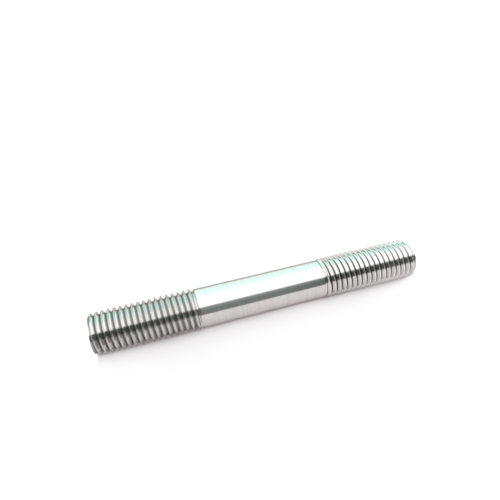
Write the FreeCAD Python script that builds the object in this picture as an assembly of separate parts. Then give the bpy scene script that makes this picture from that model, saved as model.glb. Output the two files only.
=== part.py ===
import FreeCAD, Part
import math
import os

# A double ended stud: one rolled steel bar with the same right-hand thread on both ends
# and a plain shank between them. It stands along +Z, with the centre of its lower end
# face at the origin. All lengths are millimetres.

studLength = 152.4          # from end face to end face
lowerThreadLength = 44.45   # full thread at the lower end, from its end face
upperThreadLength = 44.45   # full thread at the upper end, from its end face
majorDiameter = 19.05       # over the thread crests
threadPitch = 2.54          # from crest to crest, ten threads to the inch
flankAngle = 60.0           # between the two flanks of one groove, in degrees
depthPerPitch = 0.45        # groove depth for each millimetre of pitch
shankDiameter = 18.0        # plain part, between the roots and the crests of the rolled threads
runOutLength = 3.0          # over which the last crest sinks into the shank
rootRiseLength = 1.0        # over which the root climbs to the shank
endChamfer = 1.5            # 45 degree lead-in on both ends, measured along the radius

seatPerPitch = 0.12         # how deep a ridge is seated in the bar, for each millimetre of pitch
overrunTurns = 1.25         # thread turns wound past each end face before trimming
trimClearance = 0.6         # trimming rings start this far outside the crests

crestRadius = majorDiameter / 2
threadDepth = depthPerPitch * threadPitch
rootRadius = crestRadius - threadDepth
seatRadius = rootRadius - seatPerPitch * threadPitch
shankRadius = shankDiameter / 2
trimRadius = crestRadius + trimClearance
overrun = overrunTurns * threadPitch
flankSlope = math.tan(math.radians(flankAngle / 2))

axisStart = FreeCAD.Vector(0, 0, 0)
axisDirection = FreeCAD.Vector(0, 0, 1)
crosswise = FreeCAD.Vector(1, 0, 0)
halfTurn = 180
fullTurn = 360


def turned(profile):
    """Turn a closed (radius, height) outline once round the stud's axis."""
    corners = [FreeCAD.Vector(radius, 0, height) for radius, height in profile]
    face = Part.Face(Part.makePolygon(corners + corners[:1]))
    return face.revolve(axisStart, axisDirection, fullTurn)


def makeBar():
    """Make the bar under the threads: root, rise to the shank, shank, and back to the root."""
    lowerRise = lowerThreadLength
    upperRise = studLength - upperThreadLength
    return turned([
        (0, -overrun),
        (rootRadius, -overrun),
        (rootRadius, lowerRise),
        (shankRadius, lowerRise + rootRiseLength),
        (shankRadius, upperRise - rootRiseLength),
        (rootRadius, upperRise),
        (rootRadius, studLength + overrun),
        (0, studLength + overrun),
    ])


def makeRidge(threadLength):
    """Wind one thread ridge from below the end face at z = 0 up into the shank."""
    halfFoot = (crestRadius - seatRadius) * flankSlope
    section = Part.makePolygon([
        FreeCAD.Vector(seatRadius, 0, -overrun - halfFoot),
        FreeCAD.Vector(crestRadius, 0, -overrun),
        FreeCAD.Vector(seatRadius, 0, -overrun + halfFoot),
        FreeCAD.Vector(seatRadius, 0, -overrun - halfFoot),
    ])
    windingLength = overrun + threadLength + runOutLength
    helix = Part.makeLongHelix(threadPitch, windingLength, seatRadius, 0)
    helix.translate(FreeCAD.Vector(0, 0, -overrun))
    sweep = Part.BRepOffsetAPI.MakePipeShell(Part.Wire(helix.Edges))
    sweep.setFrenetMode(True)
    sweep.add(section, False, False)
    sweep.build()
    sweep.makeSolid()
    return sweep.shape()


def makeRunOutTrim(threadLength):
    """Make the ring that lowers the last crest into the shank along a cone."""
    steepness = (crestRadius - shankRadius) / runOutLength
    coneStart = threadLength - trimClearance / steepness
    coneEnd = threadLength + (crestRadius - rootRadius) / steepness
    boreRadius = seatRadius - trimClearance
    ringEnd = coneEnd + threadPitch
    return turned([
        (trimRadius, coneStart),
        (rootRadius, coneEnd),
        (boreRadius, coneEnd),
        (boreRadius, ringEnd),
        (trimRadius, ringEnd),
    ])


def makeEndTrim():
    """Make the tool that leaves a flat end face at z = 0 with its chamfer."""
    faceRadius = crestRadius - endChamfer
    belowTheWinding = -overrun - threadPitch
    return turned([
        (0, belowTheWinding),
        (trimRadius, belowTheWinding),
        (trimRadius, trimRadius - faceRadius),
        (faceRadius, 0),
        (0, 0),
    ])


def turnedOver(shape):
    """Turn a lower-end shape over to the upper end, which keeps a right-hand thread so."""
    over = shape.copy()
    over.rotate(axisStart, crosswise, halfTurn)
    over.translate(FreeCAD.Vector(0, 0, studLength))
    return over


def makeStud():
    """Join the bar and its two ridges, then trim both ends."""
    lowerRidge = makeRidge(lowerThreadLength).cut(makeRunOutTrim(lowerThreadLength))
    upperRidge = makeRidge(upperThreadLength).cut(makeRunOutTrim(upperThreadLength))
    threaded = makeBar().fuse([lowerRidge, turnedOver(upperRidge)])
    endTrim = makeEndTrim()
    trimmed = threaded.cut([endTrim, turnedOver(endTrim)])
    return trimmed.Solids[0]


os.makedirs("parts", exist_ok=True)
stud = makeStud()
stud.exportStep("parts/stud.step")
print("stud", stud.isValid(), "volume", round(stud.Volume, 1), "mm3")
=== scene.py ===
import math

import bmesh
import bpy
import numpy as np
from mathutils import Matrix, Vector


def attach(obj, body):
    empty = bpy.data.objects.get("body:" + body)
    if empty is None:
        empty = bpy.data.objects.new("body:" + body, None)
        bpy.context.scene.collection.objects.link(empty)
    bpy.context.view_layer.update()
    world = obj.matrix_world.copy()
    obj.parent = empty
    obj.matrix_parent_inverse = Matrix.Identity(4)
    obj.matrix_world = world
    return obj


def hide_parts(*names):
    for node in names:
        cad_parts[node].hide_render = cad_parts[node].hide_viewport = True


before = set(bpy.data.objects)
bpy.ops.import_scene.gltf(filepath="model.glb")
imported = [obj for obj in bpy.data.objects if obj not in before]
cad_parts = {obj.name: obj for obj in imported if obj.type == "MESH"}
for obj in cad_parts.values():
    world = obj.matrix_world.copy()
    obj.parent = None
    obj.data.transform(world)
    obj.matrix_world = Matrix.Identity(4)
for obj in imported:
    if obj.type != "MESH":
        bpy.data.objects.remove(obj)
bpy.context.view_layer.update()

# The row frame has the stud standing on its lower end, with +Z along its axis. The
# photograph shows it lying, so the camera is rolled over and looks across it, and the
# white surface that it lies on there is an upright backdrop touching it along its length.
# All lengths are metres.

white = (1.0, 1.0, 1.0, 1.0)

studForm = dict(
    length=0.1524,          # from end face to end face
    threadLength=0.0449,    # at each end, to where the thread starts to fade
    pitch=0.00254,
    crestRadius=0.009525,
    depth=0.001558,         # depth of the rolled thread
    flankAngle=60.0,        # between the two flanks of one groove, in degrees
    crestFlat=0.00031,      # width of the flat on each crest
    crestRound=0.00014,     # how far the crest's corners are rounded, along the axis
    shankRadius=0.00900,
    runOut=0.0026,          # over which the thread fades into the shank
    chamfer=0.0015,
    lowerCrest=0.001905,    # height of one lower crest on the +X side
    upperCrest=0.000635,    # the same for the upper thread, counted in whole pitches
    columns=104,            # points round the stud
    shankStep=0.0021,       # between rows on the plain shank
    flankTrim=0.00005,      # rows this close to a flank's two ends keep it flat between them
    rootShares=(1.0, 0.66, 0.33, 0.0),  # rows in half a root, by its half width
    pastEnd=2.2,            # pitches of rows past each end face, drawn back onto its edge
    capRings=(0.985, 0.9, 0.6, 0.3),    # rings on an end face, by its radius
    mergeWithin=0.0000002,
    thinnest=0.0000001,     # shorter edges are dissolved
    sharpAngle=33.0,        # edges that turn further stay sharp, in degrees
)


def smoothStep(x):
    # 0 below 0, 1 above 1, and between them three times the square less twice the cube
    x = np.clip(x, 0.0, 1.0)
    return x * x * (3.0 - 2.0 * x)


def flankAndRoot(form):
    # The flank's rise for each step along the axis, the radius of the round root that both
    # flanks touch, and half the root's width between the two touching points.
    halfAngle = form["flankAngle"] / 2
    steep = math.tan(math.radians(90 - halfAngle))
    rootRadius = (form["pitch"] / 2 - form["crestFlat"] / 2) * steep - form["depth"]
    return steep, rootRadius, rootRadius * math.cos(math.radians(halfAngle))


def threadDepth(form, fromCrest):
    # Depth below the crest at a distance from the crest's middle: nothing on the flat, a
    # parabola round its corner, the flank's straight slope, and a circle in the root.
    steep, rootRadius, rootHalf = flankAndRoot(form)
    past = fromCrest - form["crestFlat"] / 2
    soft = form["crestRound"]
    corner = np.clip(past + soft, 0.0, None) ** 2 / (4 * soft)
    flank = np.where(past > soft, past, corner) * steep
    fromRoot = form["pitch"] / 2 - fromCrest
    dip = np.sqrt(np.clip(rootRadius ** 2 - fromRoot ** 2, 0.0, None))
    return np.where(np.abs(fromRoot) < rootHalf, form["depth"] - rootRadius + dip, flank)


def studRadius(form, angle, height):
    # Radius at an angle and height: the thread's crest climbs one pitch a turn, fades into
    # the shank over the run-out, and both ends are cut back by a 45 degree chamfer.
    upper = height > form["length"] / 2
    fromEnd = np.where(upper, form["length"] - height, height)
    crest = np.where(upper, form["upperCrest"], form["lowerCrest"])
    turnPart = (height - crest) / form["pitch"] - angle / (2 * math.pi)
    fromCrest = np.abs(turnPart - np.round(turnPart)) * form["pitch"]
    thread = form["crestRadius"] - threadDepth(form, fromCrest)
    full = 1.0 - smoothStep((fromEnd - form["threadLength"]) / form["runOut"])
    radius = form["shankRadius"] + (thread - form["shankRadius"]) * full
    cone = form["crestRadius"] - form["chamfer"] + np.clip(fromEnd, 0.0, None)
    return np.minimum(radius, cone)


def rowsInPitch(form):
    # Heights of the rows in one pitch, from a crest's middle to the root's middle and then
    # the same mirrored: the crest with its corners, the flank, the root.
    half = form["pitch"] / 2
    flat = form["crestFlat"] / 2
    soft = form["crestRound"]
    trim = form["flankTrim"]
    steep, rootRadius, rootHalf = flankAndRoot(form)
    crest = [0.0, flat - soft, flat, flat + soft]
    flank = [flat + soft + trim, (flat + half - rootHalf) / 2, half - rootHalf - trim]
    root = half - rootHalf * np.array(form["rootShares"])
    climb = np.concatenate([crest, flank, root])
    return np.concatenate([climb, form["pitch"] - climb[-2:0:-1]])


def threadRows(form, crest, low, high):
    # Rows between two heights: one crest's height, plus whole pitches, plus those in a pitch.
    first = math.floor((low - crest) / form["pitch"]) - 1
    last = math.ceil((high - crest) / form["pitch"]) + 1
    turns = np.arange(first, last + 1)[:, None] * form["pitch"]
    rows = (crest + turns + rowsInPitch(form)).ravel()
    return rows[(rows > low) & (rows < high)]


def studRows(form):
    # Heights of the rows on the +X side, from below the lower end face to above the upper
    # one: those of both threads, and evenly spaced ones on the shank between them.
    length = form["length"]
    reach = form["threadLength"] + form["runOut"] + form["pitch"]
    past = form["pastEnd"] * form["pitch"]
    lower = threadRows(form, form["lowerCrest"], -past, reach)
    upper = threadRows(form, form["upperCrest"], length - reach, length + past)
    steps = int((upper[0] - lower[-1]) / form["shankStep"])
    shank = np.linspace(lower[-1], upper[0], steps + 1)[1:-1]
    return np.concatenate([lower, shank, upper])


def makeWall(form):
    # One helical strip wound from end to end. A point at a share of the turn has its row's
    # height plus that share of the way to the row one pitch further on, so that the crest
    # runs along a row. Its X and Y are the radius there times the angle's cosine and sine.
    rows = studRows(form)
    perPitch = len(rowsInPitch(form))
    columns = form["columns"]
    count = len(rows) - perPitch
    share = np.arange(columns) / columns
    angle = np.broadcast_to(share * 2 * math.pi, (count, columns))
    height = rows[:count, None] + share * (rows[perPitch:] - rows[:count])[:, None]
    height = np.clip(height, 0.0, form["length"])
    radius = studRadius(form, angle, height)
    wall = np.stack([radius * np.cos(angle), radius * np.sin(angle), height], axis=-1)

    ids = np.arange(count * columns).reshape(count, columns)
    strip = np.stack([ids[:-1, :-1], ids[:-1, 1:], ids[1:, 1:], ids[1:, :-1]], axis=-1)
    seam = np.stack([ids[:count - perPitch - 1, -1], ids[perPitch:-1, 0],
                     ids[perPitch + 1:, 0], ids[1:count - perPitch, -1]], axis=-1)
    return wall, ids, np.concatenate([strip.reshape(-1, 4), seam])


def makeCap(form, rim, rimIds, firstId, facesUp):
    # One end face: the rim's X and Y times each ring's share, then one point in the middle.
    columns, count = form["columns"], len(form["capRings"])
    shares = np.array(form["capRings"])[:, None, None]
    rings = rim * [1.0, 1.0, 0.0] * shares + rim * [0.0, 0.0, 1.0]
    middle = rim[:1] * [0.0, 0.0, 1.0]
    ringIds = firstId + np.arange(count * columns).reshape(count, columns)
    ids = np.concatenate([rimIds[None], ringIds])
    after = np.roll(ids, -1, axis=1)
    quads = np.stack([ids[:-1], after[:-1], after[1:], ids[1:]], axis=-1).reshape(-1, 4)
    fan = np.stack([ids[-1], after[-1], np.full(columns, firstId + count * columns)], axis=-1)
    step = 1 if facesUp else -1
    return np.concatenate([rings.reshape(-1, 3), middle]), quads[:, ::step], fan[:, ::step]


def buildStud(form, body, endCut):
    wall, ids, wallFaces = makeWall(form)
    lower, lowerQuads, lowerFan = makeCap(form, wall[0], ids[0], ids.size, False)
    upper, upperQuads, upperFan = makeCap(form, wall[-1], ids[-1], ids.size + len(lower), True)
    points = np.concatenate([wall.reshape(-1, 3), lower, upper])
    capFaces = [part.tolist() for part in (lowerQuads, lowerFan, upperQuads, upperFan)]
    mesh = bpy.data.meshes.new("dressedStud")
    mesh.from_pydata(points.tolist(), [], sum(capFaces, wallFaces.tolist()))
    mesh.materials.append(body)
    mesh.materials.append(endCut)
    finish = np.zeros(len(mesh.polygons), dtype=np.int32)
    finish[len(wallFaces):] = 1
    mesh.polygons.foreach_set("material_index", finish)

    # the rows past the end faces lie on top of each other and are merged here
    work = bmesh.new()
    work.from_mesh(mesh)
    bmesh.ops.remove_doubles(work, verts=work.verts, dist=form["mergeWithin"])
    bmesh.ops.dissolve_degenerate(work, dist=form["thinnest"], edges=work.edges)
    openEdges = sum(1 for edge in work.edges if len(edge.link_faces) != 2)
    volume = work.calc_volume(signed=True)
    work.to_mesh(mesh)
    work.free()

    mesh.shade_smooth()
    mesh.set_sharp_from_angle(angle=math.radians(form["sharpAngle"]))
    stud = bpy.data.objects.new("dressed_stud", mesh)
    bpy.context.collection.objects.link(stud)
    mesh.calc_loop_triangles()
    print("stud surface:", len(mesh.loop_triangles), "triangles,", openEdges, "open edges,",
          round(volume * 1000 ** 3), "mm3")
    return stud


def fill(tree, socket, value):
    # an input takes another node's output, or a plain value
    if isinstance(value, bpy.types.NodeSocket):
        tree.links.new(value, socket)
    else:
        socket.default_value = value


def addNode(tree, kind, settings=(), **inputs):
    # one node with its settings, and what goes into its inputs by name
    node = tree.nodes.new(kind)
    for key, value in dict(settings).items():
        setattr(node, key, value)
    for key, value in inputs.items():
        fill(tree, node.inputs[key.replace("_", " ")], value)
    return node


def addMath(tree, operation, *values, clamp=False):
    node = addNode(tree, "ShaderNodeMath", {"operation": operation, "use_clamp": clamp})
    for slot, value in enumerate(values):
        fill(tree, node.inputs[slot], value)
    return node.outputs[0]


def addMix(tree, share, first, second, blend="MIX"):
    # a share of the second colour over the first, which are inputs 7 and 6 of a colour mix
    node = addNode(tree, "ShaderNodeMix", {"data_type": "RGBA", "blend_type": blend})
    for slot, value in ((0, share), (6, first), (7, second)):
        fill(tree, node.inputs[slot], value)
    return node.outputs[2]


def addRise(tree, value, start, full, most=1.0):
    # 0 up to the start, then a straight line to the most
    node = addNode(tree, "ShaderNodeMapRange", {"clamp": True}, Value=value, From_Min=start,
                   From_Max=full, To_Max=most)
    return node.outputs[0]


def addDot(tree, place, direction):
    node = addNode(tree, "ShaderNodeVectorMath", {"operation": "DOT_PRODUCT"})
    fill(tree, node.inputs[0], place)
    fill(tree, node.inputs[1], direction)
    return node.outputs["Value"]


def objectPlace(tree):
    return tree.nodes.new("ShaderNodeTexCoord").outputs["Object"]


def newGroup(name, inputs, outputs):
    # a node group with its named inputs and their first values, and its named outputs
    group = bpy.data.node_groups.new(name, "ShaderNodeTree")
    for label, value in inputs.items():
        kind = "NodeSocketColor" if isinstance(value, tuple) else "NodeSocketFloat"
        group.interface.new_socket(label, in_out="INPUT", socket_type=kind).default_value = value
    for label, kind in outputs.items():
        group.interface.new_socket(label, in_out="OUTPUT", socket_type=kind)
    return group, group.nodes.new("NodeGroupInput").outputs, group.nodes.new("NodeGroupOutput").inputs


def useGroup(tree, group, **inputs):
    return addNode(tree, "ShaderNodeGroup", {"node_tree": group}, **inputs).outputs


marksForm = dict(
    fineness=5200.0,        # along the axis
    wander=45.0,            # across it
    layers=((1.0, 3.0), (0.17, 2.0)),   # share of the fineness, and octaves
    grain=0.6,
)


def makeTurningMarks(form):
    # Fine rings round the bar: noise that changes fast along the axis and slowly across it.
    group, given, result = newGroup("turningMarks",
        {"Fineness": form["fineness"], "Wander": form["wander"]},
        {"Height": "NodeSocketFloat", "Streak": "NodeSocketFloat"})
    apart = addNode(group, "ShaderNodeSeparateXYZ", Vector=objectPlace(group)).outputs
    across = addMath(group, "MULTIPLY", apart["X"], given["Wander"])
    aside = addMath(group, "MULTIPLY", apart["Y"], given["Wander"])
    along = addMath(group, "MULTIPLY", apart["Z"], given["Fineness"])
    heights = []
    for share, octaves in form["layers"]:
        slower = addMath(group, "MULTIPLY", along, share)
        joined = addNode(group, "ShaderNodeCombineXYZ", X=across, Y=aside, Z=slower)
        noise = addNode(group, "ShaderNodeTexNoise", Vector=joined.outputs[0], Scale=1.0,
                        Detail=octaves, Roughness=form["grain"])
        heights.append(noise.outputs["Fac"])
    fill(group, result["Height"], addMath(group, "ADD", *heights))
    fill(group, result["Streak"], heights[1])
    return group


bloomForm = dict(octaves=2.0, grain=0.5, coolBelow=0.35, warmAbove=0.65, share=0.5)


def makePlatingBloom(form):
    # Thin plating takes a faint tint that drifts from cool to warm over the piece.
    group, given, result = newGroup("platingBloom",
        {"Metal": white, "Cool": white, "Warm": white, "Size": 120.0},
        {"Color": "NodeSocketColor"})
    noise = addNode(group, "ShaderNodeTexNoise", Vector=objectPlace(group), Scale=given["Size"],
                    Detail=form["octaves"], Roughness=form["grain"])
    spread = addRise(group, noise.outputs["Fac"], form["coolBelow"], form["warmAbove"])
    drift = addMix(group, spread, given["Cool"], given["Warm"])
    fill(group, result["Color"], addMix(group, form["share"], given["Metal"], drift))
    return group


wearForm = dict(octaves=6.0, grain=0.65, specksFrom=0.56, specksFull=0.74)


def makeHandlingWear(form):
    # Small rubs and specks that dull the shine here and there.
    group, given, result = newGroup("handlingWear",
        {"Amount": 0.5, "Size": 900.0}, {"Mask": "NodeSocketFloat"})
    noise = addNode(group, "ShaderNodeTexNoise", Vector=objectPlace(group), Scale=given["Size"],
                    Detail=form["octaves"], Roughness=form["grain"])
    specks = addRise(group, noise.outputs["Fac"], form["specksFrom"], form["specksFull"])
    fill(group, result["Mask"], addMath(group, "MULTIPLY", specks, given["Amount"]))
    return group


def makeThreadMasks():
    # Three masks by place on the stud. Root: 1 at the bottom of the grooves, where shade is
    # painted, times its share for the lower or the upper thread, and fading out towards an end
    # face. Rolled: 1 on both threads, which are painted brighter. Seam: 1 on the crests, where
    # rolling leaves a seam and shade is painted.
    group, given, result = newGroup("threadMasks",
        {"Start Radius": 0.0083, "Root Radius": 0.0080, "Crest Radius": 0.0095, "Middle": 0.0762,
         "Clean End": 0.0022, "Rolled Length": 0.0457, "Rolled Edge": 0.001,
         "Seam Depth": 0.00007, "Lower Share": 1.0, "Upper Share": 1.0},
        {"Root": "NodeSocketFloat", "Rolled": "NodeSocketFloat", "Seam": "NodeSocketFloat"})
    apart = addNode(group, "ShaderNodeSeparateXYZ", Vector=objectPlace(group)).outputs
    squares = addMath(group, "ADD", addMath(group, "MULTIPLY", apart["X"], apart["X"]),
                      addMath(group, "MULTIPLY", apart["Y"], apart["Y"]))
    radius = addMath(group, "SQRT", squares)
    offset = addMath(group, "SUBTRACT", apart["Z"], given["Middle"])
    fromEnd = addMath(group, "SUBTRACT", given["Middle"], addMath(group, "ABSOLUTE", offset))

    deep = addRise(group, radius, given["Start Radius"], given["Root Radius"])
    inside = addMath(group, "DIVIDE", fromEnd, given["Clean End"], clamp=True)
    isUpper = addMath(group, "GREATER_THAN", apart["Z"], given["Middle"])
    more = addMath(group, "SUBTRACT", given["Upper Share"], given["Lower Share"])
    share = addMath(group, "MULTIPLY_ADD", isUpper, more, given["Lower Share"])
    rooted = addMath(group, "MULTIPLY", deep, inside)
    fill(group, result["Root"], addMath(group, "MULTIPLY", rooted, share))

    left = addMath(group, "SUBTRACT", given["Rolled Length"], fromEnd)
    fill(group, result["Rolled"], addMath(group, "DIVIDE", left, given["Rolled Edge"], clamp=True))

    below = addMath(group, "SUBTRACT", given["Crest Radius"], radius)
    sunk = addMath(group, "DIVIDE", below, given["Seam Depth"], clamp=True)
    fill(group, result["Seam"], addMath(group, "SUBTRACT", 1.0, sunk))
    return group


turningMarks = makeTurningMarks(marksForm)
platingBloom = makePlatingBloom(bloomForm)
handlingWear = makeHandlingWear(wearForm)
threadMasks = makeThreadMasks()


def newMetal(name):
    material = bpy.data.materials.new(name)
    material.use_nodes = True
    shader = material.node_tree.nodes["Principled BSDF"]
    shader.inputs["Metallic"].default_value = 1.0
    return material, material.node_tree, shader


platedFinish = dict(
    metal=(0.62, 0.595, 0.58, 1),
    cool=(0.60, 0.605, 0.595, 1),
    warm=(0.64, 0.585, 0.565, 1),
    bloomSize=120.0,
    rolled=(0.78, 0.755, 0.74, 1),      # the threads, painted brighter to stand in for light lost between reflections in the grooves
    rolledLength=0.0457,                # from each end face
    rolledEdge=0.001,                   # over which the painted brightening starts
    root=(0.012, 0.030, 0.034, 1),      # painted shade in the roots, standing in for light lost there between reflections
    rootFrom=0.85,                      # share of the thread's depth where they start
    lowerRootShade=0.88,                    # how dark the painted shade is, from 0 to 1
    upperRootShade=0.97,
    rootShadeClearEnd=0.0022,                    # over which they clear towards an end face
    # painted shade that darkens the crests, where rolling leaves a seam
    seam=(0.25, 0.25, 0.25, 1),
    crestShadeShare=0.75,
    crestShadeDepth=0.00007,
    streak=(0.80, 0.78, 0.78, 1),       # faint rings of darker plating
    streakFrom=0.42, streakFull=0.62, streakMost=0.35,
    edge=(0.45, 0.44, 0.41, 1),         # the tint seen along a glancing surface
    shine=0.14,                         # roughness of clean plating
    streakDulls=0.10, rootDulls=0.06,   # what these add to it
    dull=0.30,                          # roughness where it is worn
    wear=0.55, wearSize=900.0,
    rings=0.0000005,                    # height of the turning marks
)


def makePlatedSteel(look, form):
    material, tree, shader = newMetal("brightPlatedSteel")
    shader.inputs["Specular Tint"].default_value = look["edge"]
    marks = useGroup(tree, turningMarks)
    bloom = useGroup(tree, platingBloom, Metal=look["metal"], Cool=look["cool"],
                     Warm=look["warm"], Size=look["bloomSize"])
    wear = useGroup(tree, handlingWear, Amount=look["wear"], Size=look["wearSize"])
    masks = useGroup(tree, threadMasks,
                     Start_Radius=form["crestRadius"] - look["rootFrom"] * form["depth"],
                     Root_Radius=form["crestRadius"] - form["depth"],
                     Crest_Radius=form["crestRadius"], Middle=form["length"] / 2,
                     Clean_End=look["rootShadeClearEnd"], Rolled_Length=look["rolledLength"],
                     Rolled_Edge=look["rolledEdge"], Seam_Depth=look["crestShadeDepth"],
                     Lower_Share=look["lowerRootShade"], Upper_Share=look["upperRootShade"])

    lines = addRise(tree, marks["Streak"], look["streakFrom"], look["streakFull"], look["streakMost"])
    streaked = addMix(tree, lines, bloom["Color"], look["streak"], "MULTIPLY")
    # the threads painted brighter, standing in for light lost between reflections in the grooves
    rolled = addMix(tree, masks["Rolled"], streaked, look["rolled"])
    # painted shade on the crests
    crestShadeShare = addMath(tree, "MULTIPLY", masks["Seam"], look["crestShadeShare"])
    crestShaded = addMix(tree, crestShadeShare, rolled, look["seam"])
    # painted shade in the roots of the grooves
    fill(tree, shader.inputs["Base Color"], addMix(tree, masks["Root"], crestShaded, look["root"]))

    smoothest = look["shine"] - look["streakDulls"] / 2
    rough = addMath(tree, "MULTIPLY_ADD", marks["Streak"], look["streakDulls"], smoothest)
    rough = addMath(tree, "MULTIPLY_ADD", wear["Mask"], look["dull"] - look["shine"], rough)
    rough = addMath(tree, "MULTIPLY_ADD", masks["Root"], look["rootDulls"], rough)
    fill(tree, shader.inputs["Roughness"], rough)
    bump = addNode(tree, "ShaderNodeBump", Strength=1.0, Distance=look["rings"], Height=marks["Height"])
    fill(tree, shader.inputs["Normal"], bump.outputs[0])
    return material


endFinish = dict(
    metal=(0.70, 0.70, 0.69, 1),
    cool=(0.68, 0.71, 0.70, 1),
    warm=(0.72, 0.70, 0.68, 1),
    bloomSize=260.0,
    shine=0.30,
    wear=0.8, wearSize=700.0, wearDulls=0.2,
    sawTurn=24.0,                       # of the saw lines, in degrees
    sawScale=(2600, 60, 60),            # fine across the lines and coarse along them
    sawOctaves=3.0, sawGrain=0.6,
    sawDepth=0.00001,
)


def makeCutEnd(look):
    # The end faces were cropped from the bar: straight saw lines under the plating.
    material, tree, shader = newMetal("cutEndSteel")
    bloom = useGroup(tree, platingBloom, Metal=look["metal"], Cool=look["cool"],
                     Warm=look["warm"], Size=look["bloomSize"])
    wear = useGroup(tree, handlingWear, Amount=look["wear"], Size=look["wearSize"])
    fill(tree, shader.inputs["Base Color"], bloom["Color"])
    rough = addMath(tree, "MULTIPLY_ADD", wear["Mask"], look["wearDulls"], look["shine"])
    fill(tree, shader.inputs["Roughness"], rough)
    turned = addNode(tree, "ShaderNodeMapping", Vector=objectPlace(tree),
                     Rotation=(0, 0, math.radians(look["sawTurn"])), Scale=look["sawScale"])
    lines = addNode(tree, "ShaderNodeTexNoise", Vector=turned.outputs[0], Scale=1.0,
                    Detail=look["sawOctaves"], Roughness=look["sawGrain"])
    bump = addNode(tree, "ShaderNodeBump", Strength=1.0, Distance=look["sawDepth"],
                   Height=lines.outputs["Fac"])
    fill(tree, shader.inputs["Normal"], bump.outputs[0])
    return material


stud = buildStud(studForm, makePlatedSteel(platedFinish, studForm), makeCutEnd(endFinish))
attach(stud, "root")
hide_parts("stud")
print("stud built and dressed")


# The eye's place beside the stud, fitted to the photograph: the middle of the lower end
# face and the stud's direction, both as the camera sees them, with Y up and -Z ahead.
photoEye = dict(
    focal=433.01,           # in pixels
    frame=500,              # the picture's side, in pixels
    sensor=36.0,            # the same side on the sensor, in millimetres
    nearest=0.005,          # what the camera sees starts and ends here
    farthest=20.0,
    lowerEnd=(-0.0678851, -0.0365036, -0.1860327),
    yaw=-0.1954,            # how far the upper end turns away, in radians
    roll=0.2219,            # how far the stud tilts in the picture, in radians
    surfaceAngle=42.0,      # between the line of sight and the surface under the stud, in degrees
)


def photoAxes(eye):
    # Three directions as the camera sees them: along the stud, from the stud to the
    # camera, and across the stud towards the top of the picture.
    along = Vector((math.cos(eye["yaw"]) * math.cos(eye["roll"]),
                    math.cos(eye["yaw"]) * math.sin(eye["roll"]), math.sin(eye["yaw"])))
    lowerEnd = Vector(eye["lowerEnd"])
    towards = (lowerEnd.dot(along) * along - lowerEnd).normalized()
    return along, towards, towards.cross(along)


def rowAxes(eye):
    # The same three directions in the row frame, where the backdrop faces -Y.
    tilt = math.radians(eye["surfaceAngle"])
    towards = Vector((math.cos(tilt), -math.sin(tilt), 0.0))
    along = Vector((0.0, 0.0, 1.0))
    return along, towards, towards.cross(along)


def makeCamera(eye):
    # The turn that takes the three directions from the camera's frame to the row's also
    # takes the camera there, with the lower end face's middle at the row's origin.
    seen = Matrix(photoAxes(eye)).transposed()
    inRow = Matrix(rowAxes(eye)).transposed()
    turn = inRow @ seen.transposed()
    data = bpy.data.cameras.new("photoCamera")
    data.sensor_width = eye["sensor"]
    data.lens = eye["focal"] / eye["frame"] * eye["sensor"]
    data.clip_start, data.clip_end = eye["nearest"], eye["farthest"]
    camera = bpy.data.objects.new("photoCamera", data)
    camera.matrix_world = Matrix.Translation(turn @ -Vector(eye["lowerEnd"])) @ turn.to_4x4()
    bpy.context.collection.objects.link(camera)
    bpy.context.scene.camera = camera


makeCamera(photoEye)
print("camera placed")


# A plain pale floor, and the backdrop that the stud touches, as white as the photograph's.
stageLook = dict(
    floorHalf=1.1,
    backdropWide=1.1,                   # to each side of the stud
    backdropHigh=1.1,
    gap=0.00001,                        # between the stud and the paper
    paper=(0.88, 0.88, 0.88, 1),        # the paper's own colour
    backdropGlow=(0.105, 0.080, 0.093, 1),  # what a shadow on the backdrop keeps
    floorGlow=(0.45, 0.45, 0.45, 1),    # what a shadow on the floor keeps
    farFrom=0.05, farFull=0.30,         # from the stud's middle to where all is plain white
)


def newPlain(name):
    # a material with no shader yet, and the input for one
    material = bpy.data.materials.new(name)
    material.use_nodes = True
    tree = material.node_tree
    tree.nodes.remove(tree.nodes["Principled BSDF"])
    return material, tree, tree.nodes["Material Output"].inputs["Surface"]


def addShaders(tree, first, second):
    node = tree.nodes.new("ShaderNodeAddShader")
    tree.links.new(first.outputs[0], node.inputs[0])
    tree.links.new(second.outputs[0], node.inputs[1])
    return node


def makePaper(name, look, glow, middle):
    # White paper that keeps the stud's shadow: its lit colour and its glow add up to white.
    # Far from the stud the camera sees it brighter, where a lamp no longer reaches it.
    material, tree, surface = newPlain(name)
    path = tree.nodes.new("ShaderNodeLightPath").outputs
    lit = addNode(tree, "ShaderNodeBsdfDiffuse", Color=look["paper"])
    mirrored = addMath(tree, "MAXIMUM", path["Is Glossy Ray"], path["Is Transmission Ray"])
    seen = addMath(tree, "MAXIMUM", path["Is Camera Ray"], mirrored)
    shine = addNode(tree, "ShaderNodeEmission", Color=glow, Strength=seen)
    distance = addNode(tree, "ShaderNodeVectorMath", {"operation": "DISTANCE"})
    fill(tree, distance.inputs[0], objectPlace(tree))
    fill(tree, distance.inputs[1], middle)
    outward = addRise(tree, distance.outputs["Value"], look["farFrom"], look["farFull"])
    farLight = addMath(tree, "MULTIPLY", outward, path["Is Camera Ray"])
    far = addNode(tree, "ShaderNodeEmission", Color=white, Strength=farLight)
    both = addShaders(tree, lit, addShaders(tree, shine, far))
    tree.links.new(both.outputs[0], surface)
    return material, tree, both


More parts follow.
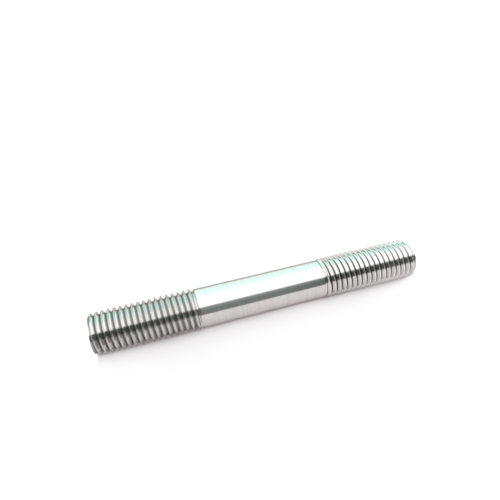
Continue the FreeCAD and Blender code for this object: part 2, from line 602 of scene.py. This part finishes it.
def clearFromBehind(tree, front):
    # The paper's back can be seen through, so that the stud shows from every side.
    backfacing = tree.nodes.new("ShaderNodeNewGeometry").outputs["Backfacing"]
    clear = tree.nodes.new("ShaderNodeBsdfTransparent")
    pick = addNode(tree, "ShaderNodeMixShader", Fac=backfacing)
    tree.links.new(front.outputs[0], pick.inputs[1])
    tree.links.new(clear.outputs[0], pick.inputs[2])
    tree.links.new(pick.outputs[0], tree.nodes["Material Output"].inputs["Surface"])


def makeSheet(name, corners, shapes, material):
    mesh = bpy.data.meshes.new(name)
    mesh.from_pydata(corners, [], shapes)
    mesh.materials.append(material)
    sheet = bpy.data.objects.new(name, mesh)
    bpy.context.collection.objects.link(sheet)
    return sheet


def makeStage(look, form):
    half, wide, high = look["floorHalf"], look["backdropWide"], look["backdropHigh"]
    middle = (0.0, 0.0, form["length"] / 2)
    low = -look["gap"]
    behind = form["crestRadius"] + look["gap"]
    square = [(0, 1, 2, 3)]
    floorPaper, tree, front = makePaper("floorPaper", look, look["floorGlow"], middle)
    corners = [(-half, -half, low), (half, -half, low), (half, half, low), (-half, half, low)]
    floor = makeSheet("floor", corners, square, floorPaper)
    floor.visible_glossy = False    # the stud shows the room in place of the floor it stands on
    floor.visible_shadow = False    # and the backdrop is lit as if it went on below it
    backdropPaper, tree, front = makePaper("backdropPaper", look, look["backdropGlow"], middle)
    clearFromBehind(tree, front)
    corners = [(-wide, behind, low), (wide, behind, low), (wide, behind, high), (-wide, behind, high)]
    makeSheet("backdrop", corners, square, backdropPaper)


# Each lamp is a soft panel that lights the paper. Its turn is measured round the stud from
# the line of sight, towards the top of the picture, and a brightness of 1 would show white.
panels = dict(
    strip=dict(turn=6.5, distance=0.6, wide=0.116, tall=2.4, height=0.08, bright=6.2),
    overhead=dict(turn=28.0, distance=0.6, wide=0.345, tall=2.4, height=0.08, bright=1.45),
    window=dict(turn=89.0, distance=0.6, wide=0.95, tall=1.8, height=0.08, bright=0.6),
)


def makePanel(name, panel, eye):
    along, towards, across = rowAxes(eye)
    turn = math.radians(panel["turn"])
    outward = towards * math.cos(turn) + across * math.sin(turn)
    data = bpy.data.lights.new(name, "AREA")
    data.shape = "RECTANGLE"
    data.size, data.size_y = panel["wide"], panel["tall"]
    data.energy = panel["bright"] * math.pi * panel["wide"] * panel["tall"]
    lamp = bpy.data.objects.new(name, data)
    turned = Matrix((along.cross(outward), along, outward)).transposed().to_4x4()
    place = outward * panel["distance"] + along * panel["height"]
    lamp.matrix_world = Matrix.Translation(place) @ turned
    lamp.visible_camera = False
    lamp.visible_glossy = False     # the metal shows the screen in its place
    bpy.context.collection.objects.link(lamp)


def colorByTurn(tree, place, stops, eye):
    # A colour by the turn round the stud of a direction or place, and that turn in radians.
    # The ramp has straight ahead in its middle and straight behind at both ends.
    along, towards, across = rowAxes(eye)
    turn = addMath(tree, "ARCTAN2", addDot(tree, place, across), addDot(tree, place, towards))
    ramp = tree.nodes.new("ShaderNodeValToRGB")
    fill(tree, ramp.inputs[0], addMath(tree, "MULTIPLY_ADD", turn, 0.5 / math.pi, 0.5))
    marks = ramp.color_ramp.elements
    while len(marks) < len(stops):
        marks.new(0.5)
    # all places first, because marks change order while they move
    for mark, (degrees, color) in zip(marks, stops):
        mark.position = degrees / 360 + 0.5
    for mark, (degrees, color) in zip(marks, stops):
        mark.color = (*color, 1.0)
    return ramp.outputs["Color"], turn


# The bright screen that the metal shows: a part of a cylinder round the stud. Its ends are
# given by turn, as the sine of the lean along the stud, below and above. It narrows to the
# back, so that the thread's steeper flanks show the dark room beyond it.
screenForm = dict(
    distance=0.7,
    middle=0.05,
    bright=1.9,
    columns=69,
    turns=(2, 45, 73, 98, 119, 138),
    lowerLeans=(-0.86, -0.86, -0.82, -0.77, -0.66, -0.50),
    upperLeans=(0.93, 0.92, 0.74, 0.60, 0.50, 0.42),
    colors=[(2, (1.0, 1.0, 1.0)), (45, (1.0, 1.0, 1.0)), (66, (0.84, 0.97, 0.98)),
            (97, (0.69, 0.94, 0.93)), (125, (0.78, 0.96, 0.89)), (138, (0.78, 0.86, 0.80))],
)


def makeScreen(form, eye):
    # Each column stands at the distance, at its turn. Its two ends have the height of the
    # middle plus the distance times the tangent of the lean there.
    along, towards, across = (np.array(axis) for axis in rowAxes(eye))
    turns = np.linspace(form["turns"][0], form["turns"][-1], form["columns"])
    angle = np.radians(turns)[:, None]
    leans = np.stack([np.interp(turns, form["turns"], form["lowerLeans"]),
                      np.interp(turns, form["turns"], form["upperLeans"])])
    heights = form["middle"] + form["distance"] * leans / np.sqrt(1.0 - leans ** 2)
    spokes = (towards * np.cos(angle) + across * np.sin(angle)) * form["distance"]
    points = spokes[None] + heights[..., None] * along
    ids = np.arange(2 * form["columns"]).reshape(2, form["columns"])
    shapes = np.stack([ids[0, :-1], ids[0, 1:], ids[1, 1:], ids[1, :-1]], axis=-1)

    material, tree, surface = newPlain("screenGlow")
    color, turn = colorByTurn(tree, objectPlace(tree), form["colors"], eye)
    glow = addNode(tree, "ShaderNodeEmission", Color=color, Strength=form["bright"])
    tree.links.new(glow.outputs[0], surface)
    screen = makeSheet("screen", points.reshape(-1, 3).tolist(), shapes.tolist(), material)
    screen.visible_camera = False
    screen.visible_diffuse = False
    screen.visible_shadow = False


# What the metal shows beyond the screen, by turn. Two places have a colour of their own:
# below the line of sight, directions that lean along the stud between the first two sines
# or more fade to dark, and all that lean down past the last two show a pale ground.
roomLook = dict(
    colors=[(-180, (0.30, 0.28, 0.27)), (-60, (0.34, 0.31, 0.29)), (-44, (0.30, 0.28, 0.26)),
            (-40, (0.30, 0.30, 0.29)), (-32, (0.27, 0.30, 0.30)), (-15, (0.27, 0.32, 0.32)),
            (-4, (0.42, 0.47, 0.46)), (2, (0.50, 0.56, 0.55)), (6, (0.02, 0.06, 0.06)),
            (134, (0.02, 0.06, 0.06)), (140, (0.40, 0.39, 0.38)), (155, (0.60, 0.59, 0.57)),
            (180, (0.60, 0.59, 0.57))],
    darkFrom=0.26, darkFull=0.52,
    darkMiddle=-20.0, darkHalf=23.0,    # in degrees of turn
    dark=(0.004, 0.007, 0.007, 1),
    groundFrom=-0.84, groundFull=-0.92,
    ground=(0.75, 0.88, 0.88, 1),
)


def makeRoom(look, eye):
    world = bpy.data.worlds.new("room")
    bpy.context.scene.world = world
    world.use_nodes = True
    tree = world.node_tree
    sight = tree.nodes.new("ShaderNodeTexCoord").outputs["Generated"]
    color, turn = colorByTurn(tree, sight, look["colors"], eye)
    lean = addDot(tree, sight, rowAxes(eye)[0])
    aside = addRise(tree, addMath(tree, "ABSOLUTE", lean), look["darkFrom"], look["darkFull"])
    offset = addMath(tree, "SUBTRACT", turn, math.radians(look["darkMiddle"]))
    near = addMath(tree, "LESS_THAN", addMath(tree, "ABSOLUTE", offset), math.radians(look["darkHalf"]))
    shaded = addMix(tree, addMath(tree, "MULTIPLY", aside, near), color, look["dark"])
    down = addRise(tree, lean, look["groundFrom"], look["groundFull"])
    grounded = addMix(tree, down, shaded, look["ground"])
    path = tree.nodes.new("ShaderNodeLightPath").outputs
    shown = addMix(tree, path["Is Camera Ray"], grounded, white)
    fill(tree, tree.nodes["Background"].inputs["Color"], shown)


makeStage(stageLook, studForm)
for panelName, panelFacts in panels.items():
    makePanel(panelName, panelFacts, photoEye)
makeScreen(screenForm, photoEye)
makeRoom(roomLook, photoEye)
bpy.context.scene.view_settings.view_transform = "Standard"
print("stage and light ready")
